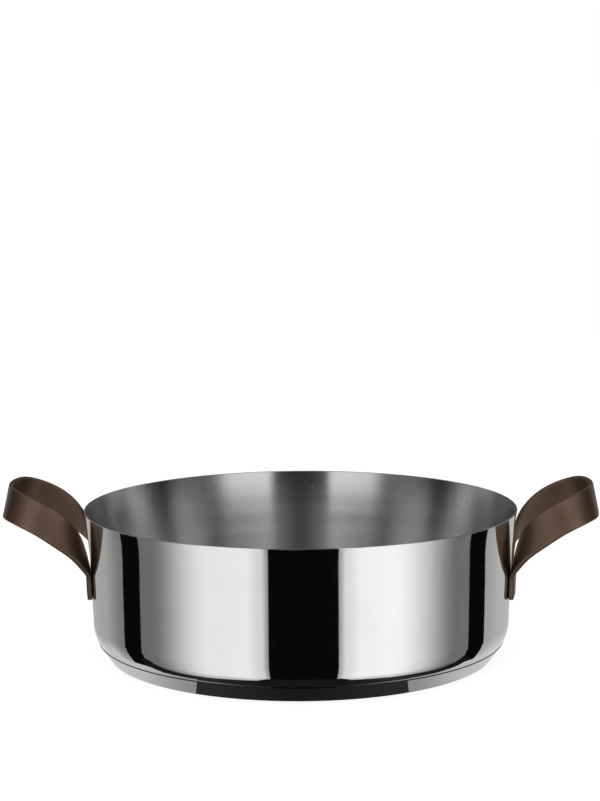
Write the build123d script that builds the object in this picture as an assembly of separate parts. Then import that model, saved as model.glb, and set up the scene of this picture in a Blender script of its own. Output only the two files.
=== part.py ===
"""Two-handled stainless braiser with a capped heat-spreading base.

Millimetres. X runs through both handles, Z is up, and the origin is the centre of the underside,
on the surface that the pan stands on.
"""
from build123d import *
import math
import os

# Pan: the drawn shell
rim_radius = 140.0
pan_height = 95.5
sheet = 1.2
rim_rounding = 0.3

# Pan: how far the outer line draws in below the rim, at the flare, along the straight wall, round
# the corner down to the seam, and along the base cap down to the foot
flare_spread = 3.5
flare_height = 30.5
wall_taper = 1.6
wall_foot_height = 22.0
corner_draw_in = 3.4
foot_draw_in = 7.0

# Base: the cap, its upper edge (the seam) and the disc inside it
foot_rounding = 1.0
seam_height = 10.2
seam_step = 0.35
cap_sheet = 0.8
core_thickness = 6.2
braze_film = 0.15

# Handles: the strap
strap_width = 20.0
strap_thickness = 3.2
strap_edge_rounding = 0.9
foot_corner_rounding = 3.0

# Handles: the loop that the strap's centre line follows
handle_reach = 51.3
loop_half_width = 34.5
handle_rise = 48.5
leg_length = 14.0
leg_foot_height = 39.5
weld_film = 0.05

# Stations of half a loop, from the far end to just above the leg: how far out from the weld, how
# far to the side and how far up from the top of the leg the centre line lies
loop_shares = [
    (1.00, 0.00, 1.00),
    (0.97, 0.45, 1.00),
    (0.88, 0.82, 0.98),
    (0.70, 1.00, 0.91),
    (0.48, 1.03, 0.79),
    (0.28, 0.96, 0.63),
    (0.11, 0.85, 0.44),
    (0.015, 0.72, 0.22),
    (-0.022, 0.64, 0.09),
]
leg_spread_share = 0.60

# At the same stations, in degrees: how far the strap's width leans from upright, and which way it
# leans, counted from straight at the pan towards the other side of the loop
loop_leans = [11.5, 14.0, 25.0, 34.0, 37.0, 38.0, 47.0, 70.0, 84.0]
loop_headings = [0.0, 18.0, 30.0, 36.0, 41.0, 56.0, 83.0, 94.0, 97.5]
right_angle = 90.0

# How far the cutting shapes run past what they cut
overrun = 5.0

# Radii of the outer line, worked out from the rim inwards
flare_start_radius = rim_radius - flare_spread
wall_foot_radius = flare_start_radius - wall_taper
seam_radius = wall_foot_radius - corner_draw_in
foot_radius = seam_radius - foot_draw_in
flare_start_height = pan_height - flare_height


def floor_underside():
    """Height of the shell's flat underside, which rests on the disc."""
    return cap_sheet + core_thickness


def wall_slope():
    """How much the straight wall spreads for each millimetre that it rises."""
    return wall_taper / (flare_start_height - wall_foot_height)


def wall_radius(height):
    """Outer radius of the straight part of the wall at a height."""
    return wall_foot_radius + wall_slope() * (height - wall_foot_height)


def shell_line():
    """The shell's outer line from the axis to above the rim, and where its flat underside ends."""
    down_wall = Vector(-wall_slope(), -1)
    wall_foot = (wall_foot_radius, wall_foot_height)
    flare_start = (flare_start_radius, flare_start_height)
    flare = TangentArc(flare_start, (rim_radius, pan_height), tangent=-down_wall)
    lip = Line(flare @ 1, flare @ 1 + overrun * (flare % 1))
    wall = Line(wall_foot, flare_start)
    corner = TangentArc(wall_foot, (seam_radius, seam_height), tangent=down_wall)
    turn = corner % 1
    dip = math.atan2(-turn.Y, -turn.X)
    bend_radius = (seam_height - floor_underside()) / (1 - math.cos(dip))
    flat_radius = seam_radius - bend_radius * math.sin(dip)
    bend = TangentArc(corner @ 1, (flat_radius, floor_underside()), tangent=turn)
    underside = Line((0, floor_underside()), (flat_radius, floor_underside()))
    stretches = [underside, bend, corner, wall, flare, lip]
    return Wire([stretch.edge() for stretch in stretches]), flat_radius


def filled(line):
    """The face between an outline that starts on the axis and the axis itself."""
    start = line @ 0
    end = line @ 1
    closing = Polyline(end, (0, end.Y), start)
    return make_face([*line.edges(), *closing.edges()])


def below(height):
    """The half of the drawing plane that a turned outline may fill below a height."""
    return Rectangle(rim_radius + overrun, height, align=(Align.MIN, Align.MIN))


def turned(face):
    """A solid turned about Z from a face whose X is the radius and whose Y is the height."""
    return revolve(Plane.XZ * face, axis=Axis.Z)


def make_pan_body(line):
    """The drawn shell: wall, corner and floor of one sheet, with a softened rim."""
    band = make_face(line.offset_2d(sheet, side=Side.LEFT, closed=True))
    shell = turned(band & below(pan_height))
    rim = shell.edges().group_by(Axis.Z)[-1]
    return fillet(rim, rim_rounding)


def shell_clearance(line, flat_radius):
    """The face that base pieces stay out of: the shell's, and a film round its corner."""
    film = make_face(line.offset_2d(braze_film, side=Side.RIGHT, closed=True))
    return filled(line) + (film & Pos(flat_radius, 0) * below(pan_height))


def cap_slope():
    """How much the cap's side spreads for each millimetre that it rises."""
    return (foot_draw_in + seam_step) / seam_height


def make_base_cap(clearance):
    """The magnetic steel cap: a shallow dish whose rising edge ends in the seam."""
    line = Polyline((0, 0), (foot_radius, 0), (seam_radius + seam_step, seam_height))
    band = make_face(Wire(line.edges()).offset_2d(cap_sheet, side=Side.LEFT, closed=True))
    cap = turned(band - clearance)
    foot = cap.edges().group_by(Axis.Z)[0]
    return fillet(foot, foot_rounding)


def make_base_core(clearance):
    """The aluminium disc that fills the cap up to the shell."""
    inset = (cap_sheet + braze_film) * math.hypot(1, cap_slope())
    low_radius = foot_radius + cap_slope() * cap_sheet - inset
    top_radius = seam_radius + seam_step - inset
    side = Polyline((0, cap_sheet), (low_radius, cap_sheet), (top_radius, seam_height))
    return turned(filled(Wire(side.edges())) - clearance)


def width_direction(lean, heading):
    """Which way the strap's width points, from its lower edge to its upper one."""
    level = math.sin(math.radians(lean))
    upright = math.cos(math.radians(lean))
    turn = math.radians(heading)
    return Vector(-level * math.cos(turn), -level * math.sin(turn), upright)


def weld_radius():
    """Distance from the axis to the middle of the strap at the top of the leg."""
    return wall_radius(leg_foot_height + leg_length) + weld_film + strap_thickness / 2


def leg_bearing():
    """How far round the pan from the X axis, in radians, the middle of a leg lies."""
    return math.asin(leg_spread_share * loop_half_width / weld_radius())


def leg_run():
    """The way down the leg, along the slope of the wall it lies on."""
    slope = wall_slope()
    return Vector(-slope * math.cos(leg_bearing()), -slope * math.sin(leg_bearing()), -1)


def half_loop():
    """Centre points and width directions of half a loop, from the far end to the leg's top."""
    leg_top = leg_foot_height + leg_length
    points = []
    widths = []
    for (reach_share, spread_share, rise_share), lean, heading in zip(
            loop_shares, loop_leans, loop_headings):
        points.append(Vector(weld_radius() + reach_share * handle_reach,
                             spread_share * loop_half_width,
                             leg_top + rise_share * handle_rise))
        widths.append(width_direction(lean, heading))
    points.append(Vector(weld_radius() * math.cos(leg_bearing()),
                         weld_radius() * math.sin(leg_bearing()), leg_top))
    widths.append(width_direction(right_angle, right_angle + math.degrees(leg_bearing())))
    return points, widths


def strap_section(centre, width, along):
    """The strap's rounded cross-section at a station."""
    level = (along - width * along.dot(width)).normalized()
    outline = RectangleRounded(strap_width, strap_thickness, strap_edge_rounding)
    return Plane(origin=centre, x_dir=width, z_dir=level) * outline


def mirrored(vector):
    """A vector on the other side of the loop."""
    return Vector(vector.X, -vector.Y, vector.Z)


def make_loop():
    """The strap from one leg's top round the far end to the other's, about the +X side."""
    points, widths = half_loop()
    points = [mirrored(point) for point in reversed(points)] + points[1:]
    widths = [mirrored(width) for width in reversed(widths)] + widths[1:]
    chords = [after - before for before, after in zip(points, points[2:])]
    runs = [-mirrored(leg_run())] + chords + [leg_run()]
    sections = [strap_section(*station) for station in zip(points, widths, runs)]
    return loft(sections)


def make_leg():
    """The straight end of the strap, flat on the wall, with rounded corners and edges."""
    points, widths = half_loop()
    place = Plane(origin=points[-1], x_dir=widths[-1], z_dir=leg_run().normalized())
    leg = Box(strap_width, strap_thickness, leg_length,
              align=(Align.CENTER, Align.CENTER, Align.MIN))
    corners = leg.edges().filter_by(Axis.Y).group_by(Axis.Z)[-1]
    leg = fillet(corners, foot_corner_rounding)
    across = leg.edges().group_by(Axis.Y)
    rims = [edge for edge in across[0] + across[-1] if edge.center().Z > strap_edge_rounding]
    leg = fillet(rims, strap_edge_rounding)
    return place * leg


def make_handle():
    """The whole strap on the +X side: the loop and its two legs, in one piece."""
    leg = make_leg()
    return make_loop() + leg + mirror(leg, about=Plane.XZ)


def main():
    """Make every piece and write it to its own file."""
    line, flat_radius = shell_line()
    clearance = shell_clearance(line, flat_radius)
    handle = make_handle()
    parts = {
        "pan_body": make_pan_body(line),
        "base_core": make_base_core(clearance),
        "base_cap": make_base_cap(clearance),
        "handle_right": handle,
        "handle_left": mirror(handle, about=Plane.YZ),
    }
    os.makedirs("parts", exist_ok=True)
    for name, solid in parts.items():
        export_step(solid, f"parts/{name}.step")
        print(name, round(solid.volume), len(solid.solids()), solid.bounding_box())


if __name__ == "__main__":
    main()
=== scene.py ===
"""Braiser with two loop handles: finishes, studio and camera on the shared CAD frame."""

import logging
import math
from dataclasses import dataclass
from enum import Enum

import bpy
from mathutils import Euler, Matrix, Vector

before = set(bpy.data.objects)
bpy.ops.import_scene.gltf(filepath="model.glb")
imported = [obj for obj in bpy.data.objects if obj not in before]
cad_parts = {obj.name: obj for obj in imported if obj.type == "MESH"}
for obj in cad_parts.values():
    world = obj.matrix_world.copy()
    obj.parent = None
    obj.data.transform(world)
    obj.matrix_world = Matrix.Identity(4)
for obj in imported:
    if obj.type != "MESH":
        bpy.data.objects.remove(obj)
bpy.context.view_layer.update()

log = logging.getLogger("braiser")

Socket = bpy.types.NodeSocket
Colour = tuple[float, float, float]
Point = tuple[float, float, float]

MM = 0.001

# Where the photograph was taken from: metres from the pan's axis, degrees round it.
CAMERA_DISTANCE = 1.342
CAMERA_TURN = 1.4

# The colour sockets of a Mix node, which share their names with sockets of other types.
MIX_FIRST, MIX_SECOND, MIX_RESULT = 6, 7, 2

# The tone of the studio's black paper, white being 1.
BLACK_PAPER = 0.003


class Face(Enum):
    """Which finish a face of the pan's sheet takes."""

    OUTSIDE = "outside"
    INSIDE = "inside"
    FLOOR = "floor"
    RIM = "rim"


class Side(Enum):
    """Which side of the pan a handle is on, by the name of its node."""

    RIGHT = "handle_right"
    LEFT = "handle_left"


def rgba(colour: Colour) -> tuple[float, float, float, float]:
    """Returns the colour with full opacity."""
    return (*colour, 1.0)


def grey(tone: float) -> Colour:
    """Returns the grey of a tone, 1 being white."""
    return (tone, tone, tone)


def add_object(name: str, data: bpy.types.ID) -> bpy.types.Object:
    """Puts an object of the data into the scene.

    Args:
        name: the object's name.
        data: its mesh, lamp or camera data.

    Returns:
        The object.
    """
    made = bpy.data.objects.new(name, data)
    bpy.context.scene.collection.objects.link(made)
    return made


class NodeSheet:
    """Adds nodes and links to one node tree."""

    def __init__(self, tree: bpy.types.NodeTree) -> None:
        """Keeps the tree."""
        self.tree = tree

    def add(self, kind: str, **settings: object) -> bpy.types.Node:
        """Adds a node.

        Args:
            kind: Blender's name for the node type.
            settings: properties of the node to set.

        Returns:
            The new node.
        """
        node = self.tree.nodes.new(kind)
        for name, value in settings.items():
            setattr(node, name, value)
        return node

    def link(self, source: Socket, target: Socket) -> None:
        """Links an output to an input."""
        self.tree.links.new(source, target)

    def feed(self, target: Socket, value: object) -> None:
        """Gives an input a link or a constant.

        Args:
            target: the input.
            value: a socket to link, or a constant to set.
        """
        if isinstance(value, Socket):
            self.link(value, target)
        else:
            target.default_value = value

    def close(self, shader: Socket, kind: str = "ShaderNodeOutputMaterial") -> None:
        """Links the shader to a new output node of the kind."""
        self.link(shader, self.add(kind).inputs["Surface"])

    def split(self, place: Socket) -> bpy.types.bpy_prop_collection:
        """Splits a vector.

        Args:
            place: the vector's socket.

        Returns:
            The sockets of its X, Y and Z.
        """
        parts = self.add("ShaderNodeSeparateXYZ")
        self.link(place, parts.inputs[0])
        return parts.outputs

    def calc(self, operation: str, *values: object, clamp: bool = False) -> Socket:
        """Adds a Math node.

        Args:
            operation: the node's operation, such as MULTIPLY.
            values: sockets or numbers, in the order of the inputs.
            clamp: whether the result stays between 0 and 1.

        Returns:
            The result's socket.
        """
        node = self.add("ShaderNodeMath", operation=operation, use_clamp=clamp)
        for target, value in zip(node.inputs, values):
            self.feed(target, value)
        return node.outputs[0]

    def raised(self, base: object, mask: Socket, rise: float) -> Socket:
        """Returns the base plus the mask times the rise."""
        return self.calc("ADD", base, self.calc("MULTIPLY", mask, rise))

    def weighed(self, first: Socket, second: Socket, share: float) -> Socket:
        """Adds two values up, the first by its share and the second by the rest.

        Args:
            first: the value that the share goes to.
            second: the value that takes the rest.
            share: the first value's share.

        Returns:
            The sum's socket.
        """
        part = self.calc("MULTIPLY", first, share)
        rest = self.calc("MULTIPLY", second, 1.0 - share)
        return self.calc("ADD", part, rest)

    def spread(
        self, value: Socket, low: float, high: float, to_low: float = 0.0, to_high: float = 1.0
    ) -> Socket:
        """Maps one range smoothly onto another.

        Args:
            value: the value's socket.
            low: the value that becomes to_low.
            high: the value that becomes to_high.
            to_low: the result at low and below.
            to_high: the result at high and above.

        Returns:
            The result's socket.
        """
        node = self.add("ShaderNodeMapRange", interpolation_type="SMOOTHSTEP")
        limits = {"From Min": low, "From Max": high, "To Min": to_low, "To Max": to_high}
        for name, number in limits.items():
            node.inputs[name].default_value = number
        self.feed(node.inputs["Value"], value)
        return node.outputs["Result"]

    def blend(self, share: Socket, first: object, second: object) -> Socket:
        """Mixes two colours.

        Args:
            share: the second colour's share.
            first: a colour or its socket.
            second: a colour or its socket.

        Returns:
            The mixed colour's socket.
        """
        node = self.add("ShaderNodeMix", data_type="RGBA")
        self.feed(node.inputs["Factor"], share)
        for number, value in ((MIX_FIRST, first), (MIX_SECOND, second)):
            self.feed(node.inputs[number], rgba(value) if isinstance(value, tuple) else value)
        return node.outputs[MIX_RESULT]

    def noise(
        self, place: Socket, scale: object, detail: float = 3.0, roughness: float = 0.55
    ) -> Socket:
        """Adds a noise texture.

        Args:
            place: the coordinate's socket.
            scale: cells per metre, as a number or a socket.
            detail: octaves.
            roughness: weight of the finer octaves.

        Returns:
            The socket of the noise's value.
        """
        node = self.add("ShaderNodeTexNoise", noise_dimensions="3D")
        self.feed(node.inputs["Vector"], place)
        self.feed(node.inputs["Scale"], scale)
        node.inputs["Detail"].default_value = detail
        node.inputs["Roughness"].default_value = roughness
        return node.outputs["Fac"]

    def bump(self, height: Socket, depth: float, strength: float) -> Socket:
        """Adds a Bump node.

        Args:
            height: the socket of the height, from 0 to 1.
            depth: metres that a height of 1 stands for.
            strength: share of the bump that shows.

        Returns:
            The normal's socket.
        """
        node = self.add("ShaderNodeBump")
        node.inputs["Strength"].default_value = strength
        node.inputs["Distance"].default_value = depth
        self.feed(node.inputs["Height"], height)
        return node.outputs["Normal"]

    def effect(
        self, group: bpy.types.NodeTree, place: Socket, **values: float
    ) -> bpy.types.bpy_prop_collection:
        """Places a shared effect.

        Args:
            group: the effect's node group.
            place: the position's socket.
            values: the effect's own inputs by name.

        Returns:
            The effect's outputs.
        """
        node = self.add("ShaderNodeGroup", node_tree=group)
        self.link(place, node.inputs["Place"])
        for label, value in values.items():
            node.inputs[label].default_value = value
        return node.outputs

    def by_ray(self, plain: bpy.types.Node, shown: bpy.types.Node) -> Socket:
        """Mixes two shaders by the kind of ray.

        Args:
            plain: the shader for the rays that only light.
            shown: the shader for camera, glossy and transmission rays.

        Returns:
            The mixed shader's socket.
        """
        path = self.add("ShaderNodeLightPath").outputs
        direct = self.calc("ADD", path["Is Camera Ray"], path["Is Glossy Ray"])
        seen = self.calc("ADD", direct, path["Is Transmission Ray"], clamp=True)
        pick = self.add("ShaderNodeMixShader")
        for target, source in zip(pick.inputs, (seen, plain.outputs[0], shown.outputs[0])):
            self.link(source, target)
        return pick.outputs[0]


def start_group(
    name: str, inputs: dict[str, float], outputs: tuple[str, ...]
) -> tuple[NodeSheet, bpy.types.Node, bpy.types.Node]:
    """Starts a node group with a Place vector, number inputs and number outputs.

    Args:
        name: the group's name.
        inputs: the inputs' names and default values.
        outputs: the outputs' names.

    Returns:
        The group's node sheet, its input node and its output node.
    """
    tree = bpy.data.node_groups.new(name, "ShaderNodeTree")
    tree.interface.new_socket("Place", in_out="INPUT", socket_type="NodeSocketVector")
    for label, value in inputs.items():
        socket = tree.interface.new_socket(label, in_out="INPUT", socket_type="NodeSocketFloat")
        socket.default_value = value
    for label in outputs:
        tree.interface.new_socket(label, in_out="OUTPUT", socket_type="NodeSocketFloat")
    sheet = NodeSheet(tree)
    return sheet, sheet.add("NodeGroupInput"), sheet.add("NodeGroupOutput")


class Effects:
    """The shader node groups that several finishes share, each built once."""

    def __init__(self) -> None:
        """Builds the groups."""
        self.spun_lines = self._spun_lines()
        self.fine_grain = self._fine_grain()
        self.handling_film = self._handling_film()
        self.worn_lit_edges = self._worn_lit_edges()
        self.seam_shade_line = self._seam_shade_line()

    def _spun_lines(self) -> bpy.types.NodeTree:
        """Builds lines that run round the Z axis, as spinning and a rotary brush leave them.

        Returns:
            The group: Lines is lines per metre, and Breaks says how often a line breaks off.
        """
        axis_gap = 0.5 * MM
        fine_scale, fine_share, broad_scale = 1.0, 0.75, 0.13
        inputs = {"Lines": 900.0, "Breaks": 9.0}
        sheet, into, out = start_group("spun lines", inputs, ("Height", "Shade"))
        x, y, z = sheet.split(into.outputs["Place"])
        square = sheet.calc("ADD", sheet.calc("MULTIPLY", x, x), sheet.calc("MULTIPLY", y, y))
        radius = sheet.calc("SQRT", square)
        safe = sheet.calc("MAXIMUM", radius, axis_gap)
        steps = [
            sheet.calc("MULTIPLY", sheet.calc("DIVIDE", part, safe), into.outputs["Breaks"])
            for part in (x, y)
        ]
        across = sheet.calc("SUBTRACT", radius, z)
        steps.append(sheet.calc("MULTIPLY", across, into.outputs["Lines"]))
        place = sheet.add("ShaderNodeCombineXYZ")
        for target, value in zip(place.inputs, steps):
            sheet.link(value, target)
        fine = sheet.noise(place.outputs[0], fine_scale, detail=4.0, roughness=0.65)
        broad = sheet.noise(place.outputs[0], broad_scale, detail=2.0)
        sheet.link(sheet.weighed(fine, broad, fine_share), out.inputs["Height"])
        sheet.link(sheet.spread(broad, low=0.3, high=0.7), out.inputs["Shade"])
        return sheet.tree

    def _fine_grain(self) -> bpy.types.NodeTree:
        """Builds the even grain of a blasted or rolled surface, with a slow drift in tone.

        Returns:
            The group: Grains and Drift are cells per metre.
        """
        drift_share = 0.7
        inputs = {"Grains": 2600.0, "Drift": 35.0}
        sheet, into, out = start_group("fine grain", inputs, ("Height", "Tone"))
        place = into.outputs["Place"]
        grain = sheet.noise(place, into.outputs["Grains"], detail=2.0, roughness=0.6)
        sheet.link(grain, out.inputs["Height"])
        drift = sheet.noise(place, into.outputs["Drift"])
        sheet.link(sheet.weighed(drift, grain, drift_share), out.inputs["Tone"])
        return sheet.tree

    def _handling_film(self) -> bpy.types.NodeTree:
        """Builds a faint wiped film and sparse dust, both as masks from 0 to 1.

        Returns:
            The group: Patches and Specks are cells per metre.
        """
        wipe_stretch, wipe_scale = (1.0, 1.0, 5.0), 60.0
        inputs = {"Patches": 18.0, "Specks": 900.0}
        sheet, into, out = start_group("handling film", inputs, ("Film", "Dust"))
        place = into.outputs["Place"]
        patches = sheet.noise(place, into.outputs["Patches"], detail=4.0, roughness=0.6)
        wipes = sheet.add("ShaderNodeVectorMath", operation="MULTIPLY")
        sheet.link(place, wipes.inputs[0])
        wipes.inputs[1].default_value = wipe_stretch
        streaks = sheet.noise(wipes.outputs[0], wipe_scale)
        patchy = sheet.spread(patches, low=0.45, high=0.72)
        wiped = sheet.spread(streaks, low=0.3, high=0.7, to_low=0.4)
        sheet.link(sheet.calc("MULTIPLY", patchy, wiped), out.inputs["Film"])
        specks = sheet.noise(place, into.outputs["Specks"], detail=1.0)
        sheet.link(sheet.spread(specks, low=0.74, high=0.8), out.inputs["Dust"])
        return sheet.tree

    def _worn_lit_edges(self) -> bpy.types.NodeTree:
        """Builds a mask of the sharp edges, rubbed by hands and polishing wheels and carrying a
        painted highlight.

        Returns:
            The group: Reach is the sharpness that is fully worn, Break Up is cells per metre.
        """
        flat = 0.5
        inputs = {"Reach": 0.03, "Break Up": 240.0}
        sheet, into, out = start_group("worn and highlit edges", inputs, ("Worn Lit",))
        shape = sheet.add("ShaderNodeNewGeometry")
        sharp = sheet.calc("SUBTRACT", shape.outputs["Pointiness"], flat)
        patches = sheet.noise(into.outputs["Place"], into.outputs["Break Up"])
        share = sheet.calc("DIVIDE", sharp, into.outputs["Reach"], clamp=True)
        patchy = sheet.spread(patches, low=0.3, high=0.6, to_low=0.45)
        sheet.link(sheet.calc("MULTIPLY", share, patchy), out.inputs["Worn Lit"])
        return sheet.tree

    def _seam_shade_line(self) -> bpy.types.NodeTree:
        """Builds a dark line of painted shade at one height, where the seam between two parts
        lies.

        Returns:
            The group: Level is the line's height and Width its width, in metres.
        """
        inputs = {"Level": 0.01, "Width": 0.0004}
        sheet, into, out = start_group("painted seam shade", inputs, ("Line",))
        height = sheet.split(into.outputs["Place"])[2]
        off = sheet.calc("ABSOLUTE", sheet.calc("SUBTRACT", height, into.outputs["Level"]))
        widths = sheet.calc("DIVIDE", off, into.outputs["Width"])
        line = sheet.spread(widths, low=0.4, high=0.6, to_low=1.0, to_high=0.0)
        sheet.link(line, out.inputs["Line"])
        return sheet.tree


@dataclass(frozen=True)
class Finish:
    """A finish's name and its plain values, built into a material on demand."""

    name: str
    colour: Colour
    roughness: float

    def start(
        self, metallic: float
    ) -> tuple[bpy.types.Material, NodeSheet, bpy.types.Node, Socket]:
        """Starts the material.

        Args:
            metallic: how much of the surface is bare metal, 1 being all.

        Returns:
            The material, its node sheet, the Principled node and the position's socket.
        """
        material = bpy.data.materials.new(self.name)
        material.use_nodes = True
        sheet = NodeSheet(material.node_tree)
        shader = material.node_tree.nodes["Principled BSDF"]
        shader.inputs["Metallic"].default_value = metallic
        place = sheet.add("ShaderNodeTexCoord").outputs["Object"]
        return material, sheet, shader, place

    def shaded(self, share: float) -> Colour:
        """Returns the finish's colour times a share."""
        return tuple(share * part for part in self.colour)


@dataclass(frozen=True)
class PolishedSteel(Finish):
    """Mirror-polished stainless steel with the last trace of the wheel.

    A dark line of painted shade is drawn at the seam where its width is set.
    """

    wheel_lines: float = 1400.0
    wheel_breaks: float = 6.0
    polish_depth: float = 0.6e-6
    polish_strength: float = 0.5
    film_shade: float = 0.93
    film_share: float = 0.6
    film_roughness: float = 0.03
    dust_roughness: float = 0.12
    # A dark line of painted shade along the seam: its height, width and colour.
    seam_shade_level: float = 0.0
    seam_shade_width: float = 0.0
    seam_shade_colour: Colour = (0.035, 0.034, 0.033)

    def build(self, effects: Effects) -> bpy.types.Material:
        """Builds the material.

        Args:
            effects: the shared node groups.

        Returns:
            The material.
        """
        material, sheet, shader, place = self.start(metallic=1.0)
        lines = sheet.effect(
            effects.spun_lines, place, Lines=self.wheel_lines, Breaks=self.wheel_breaks
        )
        film = sheet.effect(effects.handling_film, place)
        dull = sheet.calc("MULTIPLY", film["Film"], self.film_share)
        tone = sheet.blend(dull, self.colour, self.shaded(self.film_shade))
        # Paints the seam's shade as a dark line.
        if self.seam_shade_width:
            seam_shade = sheet.effect(
                effects.seam_shade_line, place, Level=self.seam_shade_level, Width=self.seam_shade_width
            )
            tone = sheet.blend(seam_shade["Line"], tone, self.seam_shade_colour)
        sheet.feed(shader.inputs["Base Color"], tone)
        filmed = sheet.raised(self.roughness, film["Film"], self.film_roughness)
        dusty = sheet.raised(filmed, film["Dust"], self.dust_roughness)
        sheet.feed(shader.inputs["Roughness"], dusty)
        normal = sheet.bump(lines["Height"], self.polish_depth, self.polish_strength)
        sheet.feed(shader.inputs["Normal"], normal)
        return material


@dataclass(frozen=True)
class SpunSteel(Finish):
    """Stainless steel brushed in circles, whose gloss stretches across the lines."""

    lines: float = 1100.0
    line_breaks: float = 7.0
    line_depth: float = 4e-6
    line_strength: float = 0.6
    line_shade: float = 0.94
    line_roughness: float = 0.015
    dust_roughness: float = 0.05
    stretch: float = 0.6
    stretch_turn: float = 0.25

    def build(self, effects: Effects) -> bpy.types.Material:
        """Builds the material.

        Args:
            effects: the shared node groups.

        Returns:
            The material.
        """
        material, sheet, shader, place = self.start(metallic=1.0)
        shader.inputs["Anisotropic"].default_value = self.stretch
        shader.inputs["Anisotropic Rotation"].default_value = self.stretch_turn
        around = sheet.add("ShaderNodeTangent", direction_type="RADIAL", axis="Z")
        sheet.link(around.outputs[0], shader.inputs["Tangent"])
        lines = sheet.effect(effects.spun_lines, place, Lines=self.lines, Breaks=self.line_breaks)
        film = sheet.effect(effects.handling_film, place)
        tone = sheet.blend(lines["Shade"], self.shaded(self.line_shade), self.colour)
        sheet.feed(shader.inputs["Base Color"], tone)
        lined = sheet.raised(self.roughness, lines["Shade"], self.line_roughness)
        dusty = sheet.raised(lined, film["Dust"], self.dust_roughness)
        sheet.feed(shader.inputs["Roughness"], dusty)
        normal = sheet.bump(lines["Height"], self.line_depth, self.line_strength)
        sheet.feed(shader.inputs["Normal"], normal)
        return material


@dataclass(frozen=True)
class RolledAluminium(Finish):
    """Plain rolled aluminium, which the cap and the pan's body hide."""

    grains: float = 1800.0
    grain_depth: float = 8e-6
    grain_strength: float = 0.5
    grain_shade: float = 0.8
    grain_roughness: float = 0.1

    def build(self, effects: Effects) -> bpy.types.Material:
        """Builds the material.

        Args:
            effects: the shared node groups.

        Returns:
            The material.
        """
        material, sheet, shader, place = self.start(metallic=1.0)
        grain = sheet.effect(effects.fine_grain, place, Grains=self.grains)
        tone = sheet.blend(grain["Tone"], self.shaded(self.grain_shade), self.colour)
        sheet.feed(shader.inputs["Base Color"], tone)
        rough = sheet.raised(self.roughness, grain["Tone"], self.grain_roughness)
        sheet.feed(shader.inputs["Roughness"], rough)
        normal = sheet.bump(grain["Height"], self.grain_depth, self.grain_strength)
        sheet.feed(shader.inputs["Normal"], normal)
        return material


@dataclass(frozen=True)
class BronzeCoat(Finish):
    """A thin bronze-brown coat on blasted steel, paler on the edges: partly rubbed wear, partly a
    painted highlight.
    """

    metallic: float = 0.9
    grain_depth: float = 14e-6
    grain_strength: float = 0.6
    grain_shade: float = 0.84
    film_patches: float = 40.0
    film_roughness: float = 0.07
    dust_specks: float = 1300.0
    dust_roughness: float = 0.2
    # The edges' paler colour: partly wear, partly a painted highlight.
    worn_lit_edge_colour: Colour = (0.22, 0.145, 0.108)
    edge_polish: float = 0.08

    def build(self, effects: Effects) -> bpy.types.Material:
        """Builds the material.

        Args:
            effects: the shared node groups.

        Returns:
            The material.
        """
        material, sheet, shader, place = self.start(self.metallic)
        grain = sheet.effect(effects.fine_grain, place)
        film = sheet.effect(
            effects.handling_film, place, Patches=self.film_patches, Specks=self.dust_specks
        )
        worn_lit = sheet.effect(effects.worn_lit_edges, place)["Worn Lit"]
        coat = sheet.blend(grain["Tone"], self.shaded(self.grain_shade), self.colour)
        # Paler sharp edges: partly wear, partly a painted highlight.
        sheet.feed(shader.inputs["Base Color"], sheet.blend(worn_lit, coat, self.worn_lit_edge_colour))
        filmed = sheet.raised(self.roughness, film["Film"], self.film_roughness)
        rubbed = sheet.calc("SUBTRACT", filmed, sheet.calc("MULTIPLY", worn_lit, self.edge_polish))
        dusty = sheet.raised(rubbed, film["Dust"], self.dust_roughness)
        sheet.feed(shader.inputs["Roughness"], dusty)
        normal = sheet.bump(grain["Height"], self.grain_depth, self.grain_strength)
        sheet.feed(shader.inputs["Normal"], normal)
        return material


def put_finishes(piece: bpy.types.Object, *materials: bpy.types.Material) -> None:
    """Gives the piece these materials in place of its own, and reports it.

    Args:
        piece: the piece.
        materials: the finishes' materials, in the order of its slots.
    """
    piece.data.materials.clear()
    for material in materials:
        piece.data.materials.append(material)
    log.info("%s: %s", piece.name, ", ".join(material.name for material in materials))


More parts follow.
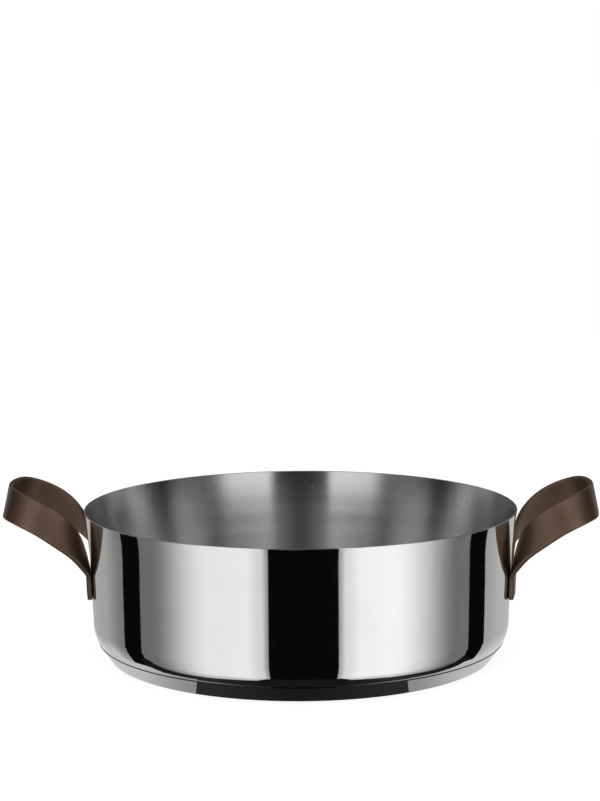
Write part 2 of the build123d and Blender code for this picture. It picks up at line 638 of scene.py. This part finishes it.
@dataclass
class PanBody:
    """The drawn sheet body: mirror outside, circle-brushed inside, a rim painted brighter as a
    highlight.

    The rim band is the height of the sheet's edge, and the floor slope is how steeply up a
    face has to look to be a part of the floor, 1 being straight up.
    """

    rim_band: float = 0.25 * MM
    floor_slope: float = 0.97
    outside: PolishedSteel = PolishedSteel("mirror-polished steel", (0.79, 0.79, 0.785), 0.035)
    # The rim is a brighter copy of the outside steel: a painted highlight along the edge.
    rim: PolishedSteel = PolishedSteel("brightened rim steel", (0.85, 0.85, 0.845), 0.09)
    inside: SpunSteel = SpunSteel(
        "circle-brushed steel", (0.75, 0.75, 0.745), 0.235, line_depth=0.7e-6, stretch=0.97
    )
    # The floor is a darker copy of the inside steel: painted shade that dims the light it throws
    # back onto the wall.
    floor: SpunSteel = SpunSteel(
        "circle-brushed floor steel", (0.72, 0.72, 0.715), 0.20, line_depth=1.2e-6, stretch=0.7
    )

    def _part(self, face: bpy.types.MeshPolygon, top: float) -> Face:
        """Finds the part of the sheet that a face lies on, from its height and direction.

        Args:
            face: the face.
            top: the rim's height.

        Returns:
            The part.
        """
        outwards = Vector((face.center.x, face.center.y, 0.0)).normalized().dot(face.normal)
        if face.center.z > top - self.rim_band:
            return Face.RIM
        if outwards >= face.normal.z:
            return Face.OUTSIDE
        return Face.FLOOR if face.normal.z > self.floor_slope else Face.INSIDE

    def dress(self, effects: Effects) -> bpy.types.Object:
        """Gives each face its finish.

        Args:
            effects: the shared node groups.

        Returns:
            The pan's body.
        """
        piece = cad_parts["pan_body"]
        top = max(vertex.co.z for vertex in piece.data.vertices)
        finishes = {
            Face.OUTSIDE: self.outside,
            Face.INSIDE: self.inside,
            Face.FLOOR: self.floor,
            Face.RIM: self.rim,
        }
        put_finishes(piece, *(finish.build(effects) for finish in finishes.values()))
        slots = list(finishes)
        for face in piece.data.polygons:
            face.material_index = slots.index(self._part(face, top))
        return piece


@dataclass
class LayeredBase:
    """The encapsulated base: an aluminium core in a polished steel cap with a turned sole.

    A face is a part of the sole below the sole height, if it looks down more steeply than
    the sole slope, 1 being straight down.
    """

    # The cap's side gets a dark line of painted shade at the seam under the body.
    cap_side: PolishedSteel = PolishedSteel(
        "polished base steel",
        (0.75, 0.75, 0.745),
        0.05,
        seam_shade_level=10.05 * MM,
        seam_shade_width=0.5 * MM,
    )
    cap_sole: SpunSteel = SpunSteel(
        "turned base steel", (0.59, 0.59, 0.585), 0.24, lines=700.0, line_depth=9e-6
    )
    core: RolledAluminium = RolledAluminium("rolled aluminium", (0.72, 0.72, 0.73), 0.38)
    sole_height: float = 0.5 * MM
    sole_slope: float = 0.5

    def dress(self, effects: Effects) -> tuple[bpy.types.Object, bpy.types.Object]:
        """Gives the cap and the core their finishes.

        Args:
            effects: the shared node groups.

        Returns:
            The cap and the core.
        """
        cap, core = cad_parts["base_cap"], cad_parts["base_core"]
        put_finishes(cap, self.cap_side.build(effects), self.cap_sole.build(effects))
        for face in cap.data.polygons:
            downwards = face.normal.z < -self.sole_slope
            face.material_index = int(downwards and face.center.z < self.sole_height)
        put_finishes(core, self.core.build(effects))
        return cap, core


@dataclass
class LoopHandle:
    """A loop handle of flat strap, whose two legs are welded to the wall."""

    side: Side
    coat: BronzeCoat = BronzeCoat("bronze-brown coat", (0.200, 0.125, 0.088), 0.48)

    def dress(self, effects: Effects) -> bpy.types.Object:
        """Gives the handle its coat, which both handles share.

        Args:
            effects: the shared node groups.

        Returns:
            The handle.
        """
        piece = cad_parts[self.side.value]
        material = bpy.data.materials.get(self.coat.name) or self.coat.build(effects)
        put_finishes(piece, material)
        return piece


def start_paper(name: str) -> tuple[bpy.types.Material, NodeSheet]:
    """Starts a material for the stage's paper, whose glow isn't sampled as a lamp.

    Args:
        name: the material's name.

    Returns:
        The material and its empty node sheet.
    """
    material = bpy.data.materials.new(name)
    material.use_nodes = True
    material.node_tree.nodes.clear()
    material.cycles.emission_sampling = "NONE"
    return material, NodeSheet(material.node_tree)


@dataclass(frozen=True)
class Panel:
    """One stretch of the studio surround, between two angles in degrees.

    The angles count from the side of the camera, positive to the picture's right, and the
    tones are the brightness at either end, 1 being white. The insets and outsets are the
    metres by which the near and the far edge stand further out at either end. The near
    edge's tone is the near share times the panel's own, which it reaches within the fade.
    """

    start: float
    end: float
    first_tone: float
    last_tone: float
    insets: tuple[float, float] = (0.0, 0.0)
    outsets: tuple[float, float] = (0.0, 0.0)
    near_share: float = 1.0
    fade: float = 0.01


@dataclass(frozen=True)
class Tier:
    """A row of panels with one section: (distance from the axis, height) points in metres.

    Where follow is set, an angle names the spot on the wall that mirrors the panel, and the
    panel's edges run on along the line of sight from there. The lean is the share by which
    such an angle grows from the top of the tier down to the floor.
    """

    name: str
    section: tuple[tuple[float, float], ...]
    panels: tuple[Panel, ...]
    follow: bool = False
    lean: float = 0.0


@dataclass(frozen=True)
class Surround:
    """Paper sweeps and floor sheets round the object that only its metal sees.

    A tier that follows the line of sight reckons it from the eye distance and the wall
    radius. A panel has a column of corners at least once in every step, in degrees.
    """

    turn: float = CAMERA_TURN
    eye_distance: float = CAMERA_DISTANCE
    wall_radius: float = 136 * MM
    step: float = 1.5
    tiers: tuple[Tier, ...] = (
        Tier(
            "low_sweep",
            ((0.142, 0.0002), (0.196, 0.0002), (0.203, 0.004), (0.205, 0.011), (0.205, 0.074)),
            (
                Panel(-90.0, -64.0, 0.50, 0.43, near_share=1.4, fade=0.038),
                Panel(-64.0, -52.7, 0.43, 0.22, near_share=1.6, fade=0.038),
                Panel(-52.7, -45.4, BLACK_PAPER, BLACK_PAPER),
                Panel(-45.4, -41.2, 0.175, 0.185, near_share=0.7),
                Panel(-41.2, -22.7, 0.185, 0.985, near_share=0.6),
                Panel(-22.7, -14.0, 0.985, 1.02, near_share=0.5),
                Panel(-14.0, -10.0, 1.02, 0.81, near_share=0.5),
                Panel(-10.0, -8.1, 0.81, 0.34),
                Panel(-8.1, 9.3, BLACK_PAPER, BLACK_PAPER),
                Panel(9.3, 11.4, 0.42, 0.89),
                Panel(11.4, 15.4, 0.89, 1.10, near_share=0.5),
                Panel(15.4, 23.0, 1.10, 1.15, near_share=0.5),
                Panel(23.0, 44.0, 1.15, 0.175, near_share=0.6),
                Panel(44.0, 48.2, 0.185, 0.19, near_share=0.7),
                Panel(48.2, 55.7, BLACK_PAPER, BLACK_PAPER),
                Panel(55.7, 66.0, 0.41, 0.52, near_share=1.25, fade=0.045),
                Panel(66.0, 90.0, 0.52, 0.56, near_share=1.2, fade=0.045),
            ),
            follow=True,
            lean=0.028,
        ),
        Tier(
            "back_sweep",
            ((0.1421, 0.0001), (0.196, 0.0001), (0.2035, 0.004), (0.2055, 0.011), (0.2055, 0.074)),
            (
                Panel(118.0, 150.0, 0.50, 0.56, near_share=1.3, fade=0.045),
                Panel(150.0, 157.0, 0.56, 1.02),
                Panel(157.0, 168.0, 1.02, 1.04),
                Panel(168.0, 192.0, 0.006, 0.006),
                Panel(192.0, 203.0, 1.04, 1.02),
                Panel(203.0, 210.0, 1.02, 0.52),
                Panel(210.0, 242.0, 0.52, 0.42, near_share=1.6, fade=0.045),
            ),
        ),
        Tier(
            "dark_strip",
            ((0.1362, 0.0003), (0.1422, 0.0003)),
            (
                Panel(-57.0, -53.0, 0.010, 0.010, (0.0170, 0.0080), (0.0225, 0.0150)),
                Panel(-53.0, -50.0, 0.010, 0.010, (0.0080, 0.0055), (0.0150, 0.0095)),
                Panel(-50.0, -47.0, 0.010, 0.011, (0.0055, 0.0036), (0.0095, 0.0063)),
                Panel(-47.0, -44.0, 0.011, 0.012, (0.0036, 0.0018), (0.0063, 0.0032)),
                Panel(-44.0, -39.0, 0.012, 0.016, (0.0018, 0.0012), (0.0032, 0.0009)),
                Panel(-39.0, -33.0, 0.016, 0.020, (0.0012, 0.0010), (0.0009, 0.0)),
                Panel(-33.0, -27.0, 0.020, 0.026, (0.0010, 0.0004)),
                Panel(-27.0, -13.0, 0.026, 0.014, (0.0004, 0.0), (0.0, 0.0020)),
                Panel(-13.0, -10.5, 0.014, 0.010, outsets=(0.0020, 0.0060)),
                Panel(-10.5, 12.0, 0.010, 0.010, outsets=(0.0060, 0.0060)),
                Panel(12.0, 14.5, 0.010, 0.014, outsets=(0.0060, 0.0020)),
                Panel(14.5, 27.0, 0.014, 0.028, outsets=(0.0020, 0.0)),
                Panel(27.0, 42.0, 0.028, 0.016, (0.0, 0.0004)),
                Panel(42.0, 48.0, 0.016, 0.014, (0.0004, 0.0012), (0.0, 0.0020)),
                Panel(48.0, 52.5, 0.014, 0.012, (0.0012, 0.0028), (0.0020, 0.0054)),
                Panel(52.5, 56.0, 0.012, 0.010, (0.0028, 0.0056), (0.0054, 0.0105)),
                Panel(56.0, 60.5, 0.010, 0.010, (0.0056, 0.0110), (0.0105, 0.0185)),
            ),
        ),
        Tier(
            "seam_light",
            ((0.1324, 0.00005), (0.1362, 0.00005)),
            (
                Panel(-32.0, -14.0, 0.36, 0.030),
                Panel(14.0, 32.0, 0.030, 0.34),
            ),
        ),
        Tier(
            "near_strip",
            ((0.118, -0.00002), (0.142, 0.00002)),
            (
                Panel(-180.0, -100.0, 0.62, 0.70),
                Panel(-100.0, -57.0, 0.70, 0.62),
                Panel(-57.0, -31.0, 0.62, 0.34),
                Panel(-31.0, 0.0, 0.030, 0.013),
                Panel(0.0, 31.5, 0.013, 0.030),
                Panel(31.5, 57.0, 0.34, 0.62),
                Panel(57.0, 100.0, 0.62, 0.76),
                Panel(100.0, 180.0, 0.76, 0.62),
            ),
        ),
        Tier(
            "handle_cards",
            ((0.330, 0.170), (0.330, 0.440)),
            (
                Panel(-64.0, -48.0, 0.20, 1.10),
                Panel(-48.0, -20.0, 1.10, 1.20),
                Panel(20.0, 48.0, 1.20, 1.20),
                Panel(48.0, 66.0, 1.20, 0.20),
            ),
        ),
        Tier(
            "high_sweep",
            ((0.620, 0.001), (0.620, 0.700)),
            (
                Panel(-180.0, -156.0, 0.09, 0.11),
                Panel(-156.0, -136.0, 0.11, 0.44),
                Panel(-136.0, -120.0, 0.44, 0.34),
                Panel(-120.0, -104.0, 0.34, 0.01),
                Panel(-104.0, -79.0, BLACK_PAPER, BLACK_PAPER),
                Panel(-79.0, -74.0, 0.01, 0.11),
                Panel(-74.0, -54.0, 0.11, 0.18),
                Panel(-54.0, -42.0, 0.18, 1.30, near_share=0.4, fade=0.14),
                Panel(-42.0, -18.0, 1.30, 1.38, near_share=0.4, fade=0.14),
                Panel(-18.0, 18.0, BLACK_PAPER, BLACK_PAPER),
                Panel(18.0, 42.0, 1.36, 1.25, near_share=0.4, fade=0.14),
                Panel(42.0, 56.0, 1.25, 0.13, near_share=0.4, fade=0.14),
                Panel(56.0, 78.0, 0.13, 0.07),
                Panel(78.0, 83.0, 0.07, 0.01),
                Panel(83.0, 106.0, BLACK_PAPER, BLACK_PAPER),
                Panel(106.0, 120.0, 0.01, 0.34),
                Panel(120.0, 136.0, 0.34, 0.44),
                Panel(136.0, 156.0, 0.44, 0.11),
                Panel(156.0, 180.0, 0.11, 0.09),
            ),
        ),
        Tier(
            "ceiling",
            ((0.620, 0.700), (0.001, 0.700)),
            (
                Panel(-180.0, -165.0, 0.22, 0.30),
                Panel(-165.0, -155.0, 0.30, 0.80),
                Panel(-155.0, -125.0, 0.80, 0.80),
                Panel(-125.0, -110.0, 0.80, 0.05),
                Panel(-110.0, 110.0, 0.05, 0.05),
                Panel(110.0, 125.0, 0.05, 0.80),
                Panel(125.0, 155.0, 0.80, 0.80),
                Panel(155.0, 165.0, 0.80, 0.30),
                Panel(165.0, 180.0, 0.30, 0.22),
            ),
        ),
    )

    def _paper(self, panel: Panel, name: str) -> bpy.types.Material:
        """Builds the panel's plain glowing paper, graded along it and from its near edge.

        Args:
            panel: the panel.
            name: the material's name.

        Returns:
            The material.
        """
        material, sheet = start_paper(name)
        along, away, _ = sheet.split(sheet.add("ShaderNodeTexCoord").outputs["UV"])
        glow = sheet.add("ShaderNodeEmission")
        share = sheet.spread(along, low=0.0, high=1.0)
        tone = sheet.blend(share, grey(panel.first_tone), grey(panel.last_tone))
        sheet.link(tone, glow.inputs["Color"])
        if panel.near_share != 1.0:
            strength = sheet.spread(away, low=0.0, high=panel.fade, to_low=panel.near_share)
            sheet.link(strength, glow.inputs["Strength"])
        sheet.close(glow.outputs[0])
        return material

    def _spot(self, tier: Tier, angle: float, radius: float, height: float) -> Point:
        """Finds a point of a tier.

        Args:
            tier: the tier.
            angle: the point's angle in degrees, as the tier counts it.
            radius: its distance from the pan's axis.
            height: its height above the floor.

        Returns:
            The point.
        """
        bearing = math.radians(angle)
        if tier.follow:
            top = tier.section[-1][1]
            bearing *= 1.0 + tier.lean * (1.0 - height / top)
            # The spot on the wall, and the way the wall turns the line of sight from there.
            across = self.wall_radius * math.sin(bearing)
            ahead = self.wall_radius * math.cos(bearing)
            sight = 2 * bearing + math.atan2(across, self.eye_distance - ahead)
            # How far that line runs on to the radius.
            slant = across * math.sin(sight) + ahead * math.cos(sight)
            run = math.sqrt(slant * slant + radius * radius - self.wall_radius**2) - slant
            bearing = math.atan2(across + run * math.sin(sight), ahead + run * math.cos(sight))
        bearing += math.radians(self.turn)
        return radius * math.sin(bearing), -radius * math.cos(bearing), height

    def _panel(self, tier: Tier, panel: Panel, name: str) -> bpy.types.Object:
        """Builds one panel, which only glossy rays see.

        Args:
            tier: the panel's tier.
            panel: the panel.
            name: the name of its mesh and object.

        Returns:
            The panel. Its UV is the share along it and the metres from its near edge.
        """
        rows = len(tier.section)
        columns = math.ceil((panel.end - panel.start) / self.step) + 2
        shares = [index / (columns - 1) for index in range(columns)]
        shifts = {0: panel.insets, rows - 1: panel.outsets}
        corners, faces = [], []
        for share in shares:
            angle = panel.start + share * (panel.end - panel.start)
            for row, (radius, height) in enumerate(tier.section):
                first, last = shifts.get(row, (0.0, 0.0))
                reach = radius + first + share * (last - first)
                corners.append(self._spot(tier, angle, reach, height))
        for column in range(columns - 1):
            for row in range(rows - 1):
                corner = column * rows + row
                faces.append((corner, corner + 1, corner + rows + 1, corner + rows))
        mesh = bpy.data.meshes.new(name)
        mesh.from_pydata(corners, [], faces)
        steps = [math.dist(near, far) for near, far in zip(tier.section, tier.section[1:])]
        ways = [sum(steps[:row]) for row in range(rows)]
        layer = mesh.uv_layers.new(name="sweep")
        for loop in mesh.loops:
            column, row = divmod(loop.vertex_index, rows)
            layer.data[loop.index].uv = (shares[column], ways[row])
        mesh.materials.append(self._paper(panel, f"{name}_paper"))
        sweep = add_object(name, mesh)
        for ray in ("camera", "diffuse", "transmission", "volume_scatter", "shadow"):
            setattr(sweep, f"visible_{ray}", False)
        return sweep

    def build(self) -> list[bpy.types.Object]:
        """Builds every panel.

        Returns:
            The panels.
        """
        made = [
            self._panel(tier, panel, f"studio_{tier.name}_{number:02d}")
            for tier in self.tiers
            for number, panel in enumerate(tier.panels, start=1)
        ]
        log.info("surround: %d panels", len(made))
        return made


@dataclass(frozen=True)
class Softbox:
    """A soft square lamp: its place and width in metres, and its power in watts."""

    name: str
    place: Point
    width: float
    power: float

    def build(self, aim: Point) -> bpy.types.Object:
        """Adds the lamp, which doesn't show in gloss.

        Args:
            aim: the point that it faces.

        Returns:
            The lamp.
        """
        data = bpy.data.lights.new(self.name, "AREA")
        data.shape, data.size, data.energy = "SQUARE", self.width, self.power
        lamp = add_object(self.name, data)
        lamp.location = self.place
        towards = Vector(aim) - Vector(self.place)
        lamp.rotation_euler = towards.to_track_quat("-Z", "Y").to_euler()
        lamp.visible_glossy = False
        return lamp


@dataclass
class Studio:
    """A plain pale floor, an even white room and two large soft lamps.

    The rays that show the floor see white paper with the object's soft shadow on it: the
    shown tone is the paper's glow, and the shown share is how much of the light it adds.
    """

    floor_width: float = 60.0
    floor_drop: float = 0.05 * MM
    floor_tone: float = 0.80
    shown_tone: float = 0.86
    shown_share: float = 0.26
    room_light: float = 0.55
    aim: Point = (0.0, 0.0, 0.05)
    lamps: tuple[Softbox, ...] = (
        Softbox("overhead_softbox", (0.15, -0.2, 1.5), 1.3, 9.0),
        Softbox("side_softbox", (-1.3, -0.9, 0.9), 0.9, 5.0),
    )
    surround: Surround = Surround()

    def _floor(self) -> bpy.types.Object:
        """Builds the floor.

        Returns:
            The floor.
        """
        half = self.floor_width / 2
        corners = [(-half, -half, 0), (half, -half, 0), (half, half, 0), (-half, half, 0)]
        mesh = bpy.data.meshes.new("studio_floor")
        mesh.from_pydata(corners, [], [(0, 1, 2, 3)])
        floor = add_object("studio_floor", mesh)
        floor.location.z = -self.floor_drop
        material, sheet = start_paper("white paper floor")
        paper, shade = sheet.add("ShaderNodeBsdfDiffuse"), sheet.add("ShaderNodeBsdfDiffuse")
        paper.inputs["Color"].default_value = rgba(grey(self.floor_tone))
        shade.inputs["Color"].default_value = rgba(grey(self.shown_share))
        glow = sheet.add("ShaderNodeEmission")
        glow.inputs["Strength"].default_value = self.shown_tone
        both = sheet.add("ShaderNodeAddShader")
        sheet.link(shade.outputs[0], both.inputs[0])
        sheet.link(glow.outputs[0], both.inputs[1])
        sheet.close(sheet.by_ray(paper, both))
        mesh.materials.append(material)
        return floor

    def _room(self) -> None:
        """Sets the world: white where it is seen, dimmer where it only lights."""
        world = bpy.data.worlds.new("white room")
        bpy.context.scene.world = world
        world.use_nodes = True
        world.node_tree.nodes.clear()
        sheet = NodeSheet(world.node_tree)
        light, shown = sheet.add("ShaderNodeBackground"), sheet.add("ShaderNodeBackground")
        light.inputs["Strength"].default_value = self.room_light
        for background in (light, shown):
            background.inputs["Color"].default_value = rgba(grey(1.0))
        sheet.close(sheet.by_ray(light, shown), "ShaderNodeOutputWorld")

    def build(self) -> None:
        """Builds the whole studio."""
        self._floor()
        self._room()
        for lamp in self.lamps:
            lamp.build(self.aim)
        self.surround.build()
        log.info("studio: floor, room, lamps and surround")


@dataclass(frozen=True)
class PhotoCamera:
    """The photograph's camera, as fitted to the rim, the seam and the base.

    Its angles are in degrees, its lens and sensor in millimetres.
    """

    turn: float = CAMERA_TURN
    distance: float = CAMERA_DISTANCE
    height: float = 0.3414
    tilt: float = 7.506
    roll: float = -0.317
    lens: float = 94.38
    sensor: float = 36.0
    nearest: float = 0.05
    farthest: float = 100.0

    def build(self) -> bpy.types.Object:
        """Creates the camera and makes it the scene's own.

        Returns:
            The camera.
        """
        data = bpy.data.cameras.new("photo_camera")
        data.lens, data.sensor_width, data.sensor_fit = self.lens, self.sensor, "AUTO"
        data.clip_start, data.clip_end = self.nearest, self.farthest
        camera = add_object("photo_camera", data)
        turn = Matrix.Rotation(math.radians(self.turn), 4, "Z")
        stand = Matrix.Translation((0.0, -self.distance, self.height))
        aim = Euler((math.radians(90.0 - self.tilt), 0.0, 0.0)).to_matrix().to_4x4()
        roll = Matrix.Rotation(math.radians(self.roll), 4, "Z")
        camera.matrix_world = turn @ stand @ aim @ roll
        bpy.context.scene.camera = camera
        log.info("camera: %.2f m away, %.1f degrees down", self.distance, self.tilt)
        return camera


def main() -> None:
    """Dresses each sub-assembly, then builds the studio and the camera."""
    logging.basicConfig(level=logging.INFO, format="%(name)s: %(message)s")
    effects = Effects()
    PanBody().dress(effects)
    LayeredBase().dress(effects)
    for side in Side:
        LoopHandle(side).dress(effects)
    Studio().build()
    PhotoCamera().build()
    settings = bpy.context.scene.view_settings
    settings.view_transform = "Standard"


if __name__ == "__main__":
    main()
